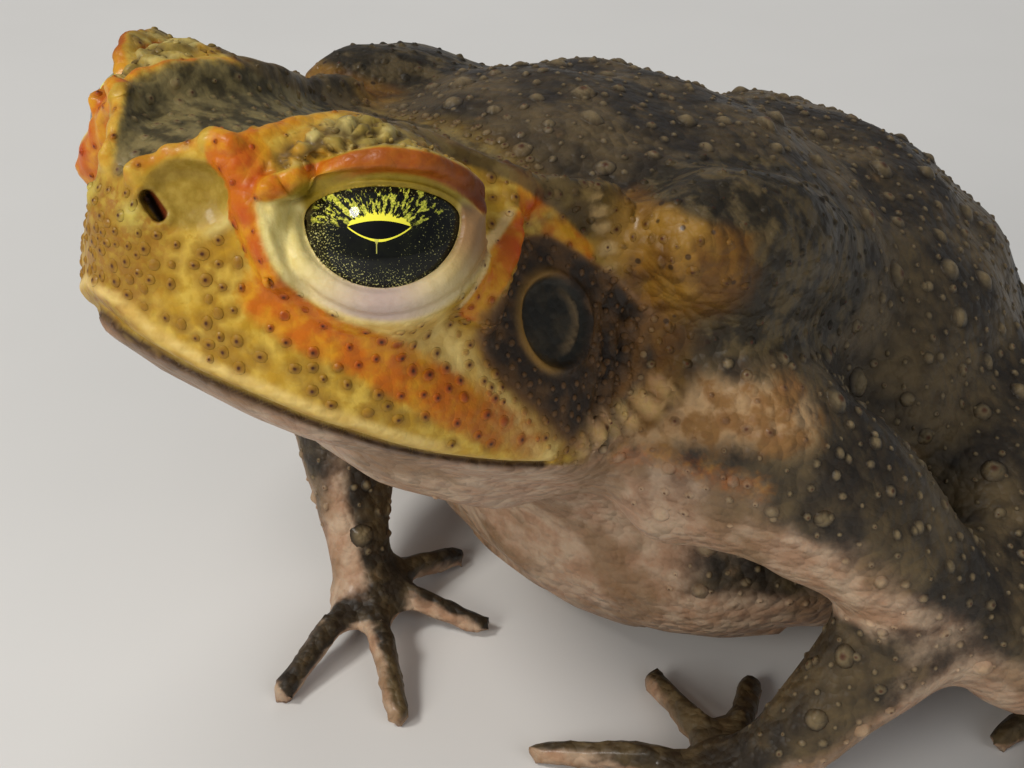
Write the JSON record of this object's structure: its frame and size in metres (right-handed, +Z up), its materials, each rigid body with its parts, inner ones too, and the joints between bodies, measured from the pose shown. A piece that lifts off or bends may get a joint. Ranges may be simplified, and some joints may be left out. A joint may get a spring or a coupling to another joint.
{
  "type": "cane toad",
  "caption": "Life-size still model of a large warty toad sitting up on its hands, head raised, belly resting on the floor.",
  "frame": {"origin": "middle of the toad's footprint box on the floor it rests on", "axes": "+Z up, the toad faces -Y and its left side is +X"},
  "size_m": [0.1416, 0.1212, 0.0755],
  "materials": {
    "head_skin": "moist warty skin, orange ridges over yellow",
    "throat_skin": "fine-grained moist skin, cream to pinkish",
    "back_skin": "dry warty skin, dark olive brown",
    "limb_skin": "warty skin, brown with darker bars",
    "gland_skin": "pitted gland skin, orange brown",
    "ear_skin": "thin taut skin, dark grey brown",
    "eye": "wet glossy, black iris flecked with gold"
  },
  "bodies": {
    "root": {"eye_left": "eye", "eye_right": "eye", "foot_left": "limb_skin", "foot_right": "limb_skin", "forearm_left": "limb_skin", "forearm_right": "limb_skin", "hand_left": "limb_skin", "hand_right": "limb_skin", "head": "head_skin", "lower_jaw": "throat_skin", "parotoid_left": "gland_skin", "parotoid_right": "gland_skin", "shank_left": "limb_skin", "shank_right": "limb_skin", "tarsus_left": "limb_skin", "tarsus_right": "limb_skin", "thigh_left": "limb_skin", "thigh_right": "limb_skin", "trunk": "back_skin", "tympanum_left": "ear_skin", "tympanum_right": "ear_skin", "upper_arm_left": "limb_skin", "upper_arm_right": "limb_skin"}
  },
  "joints": []
}
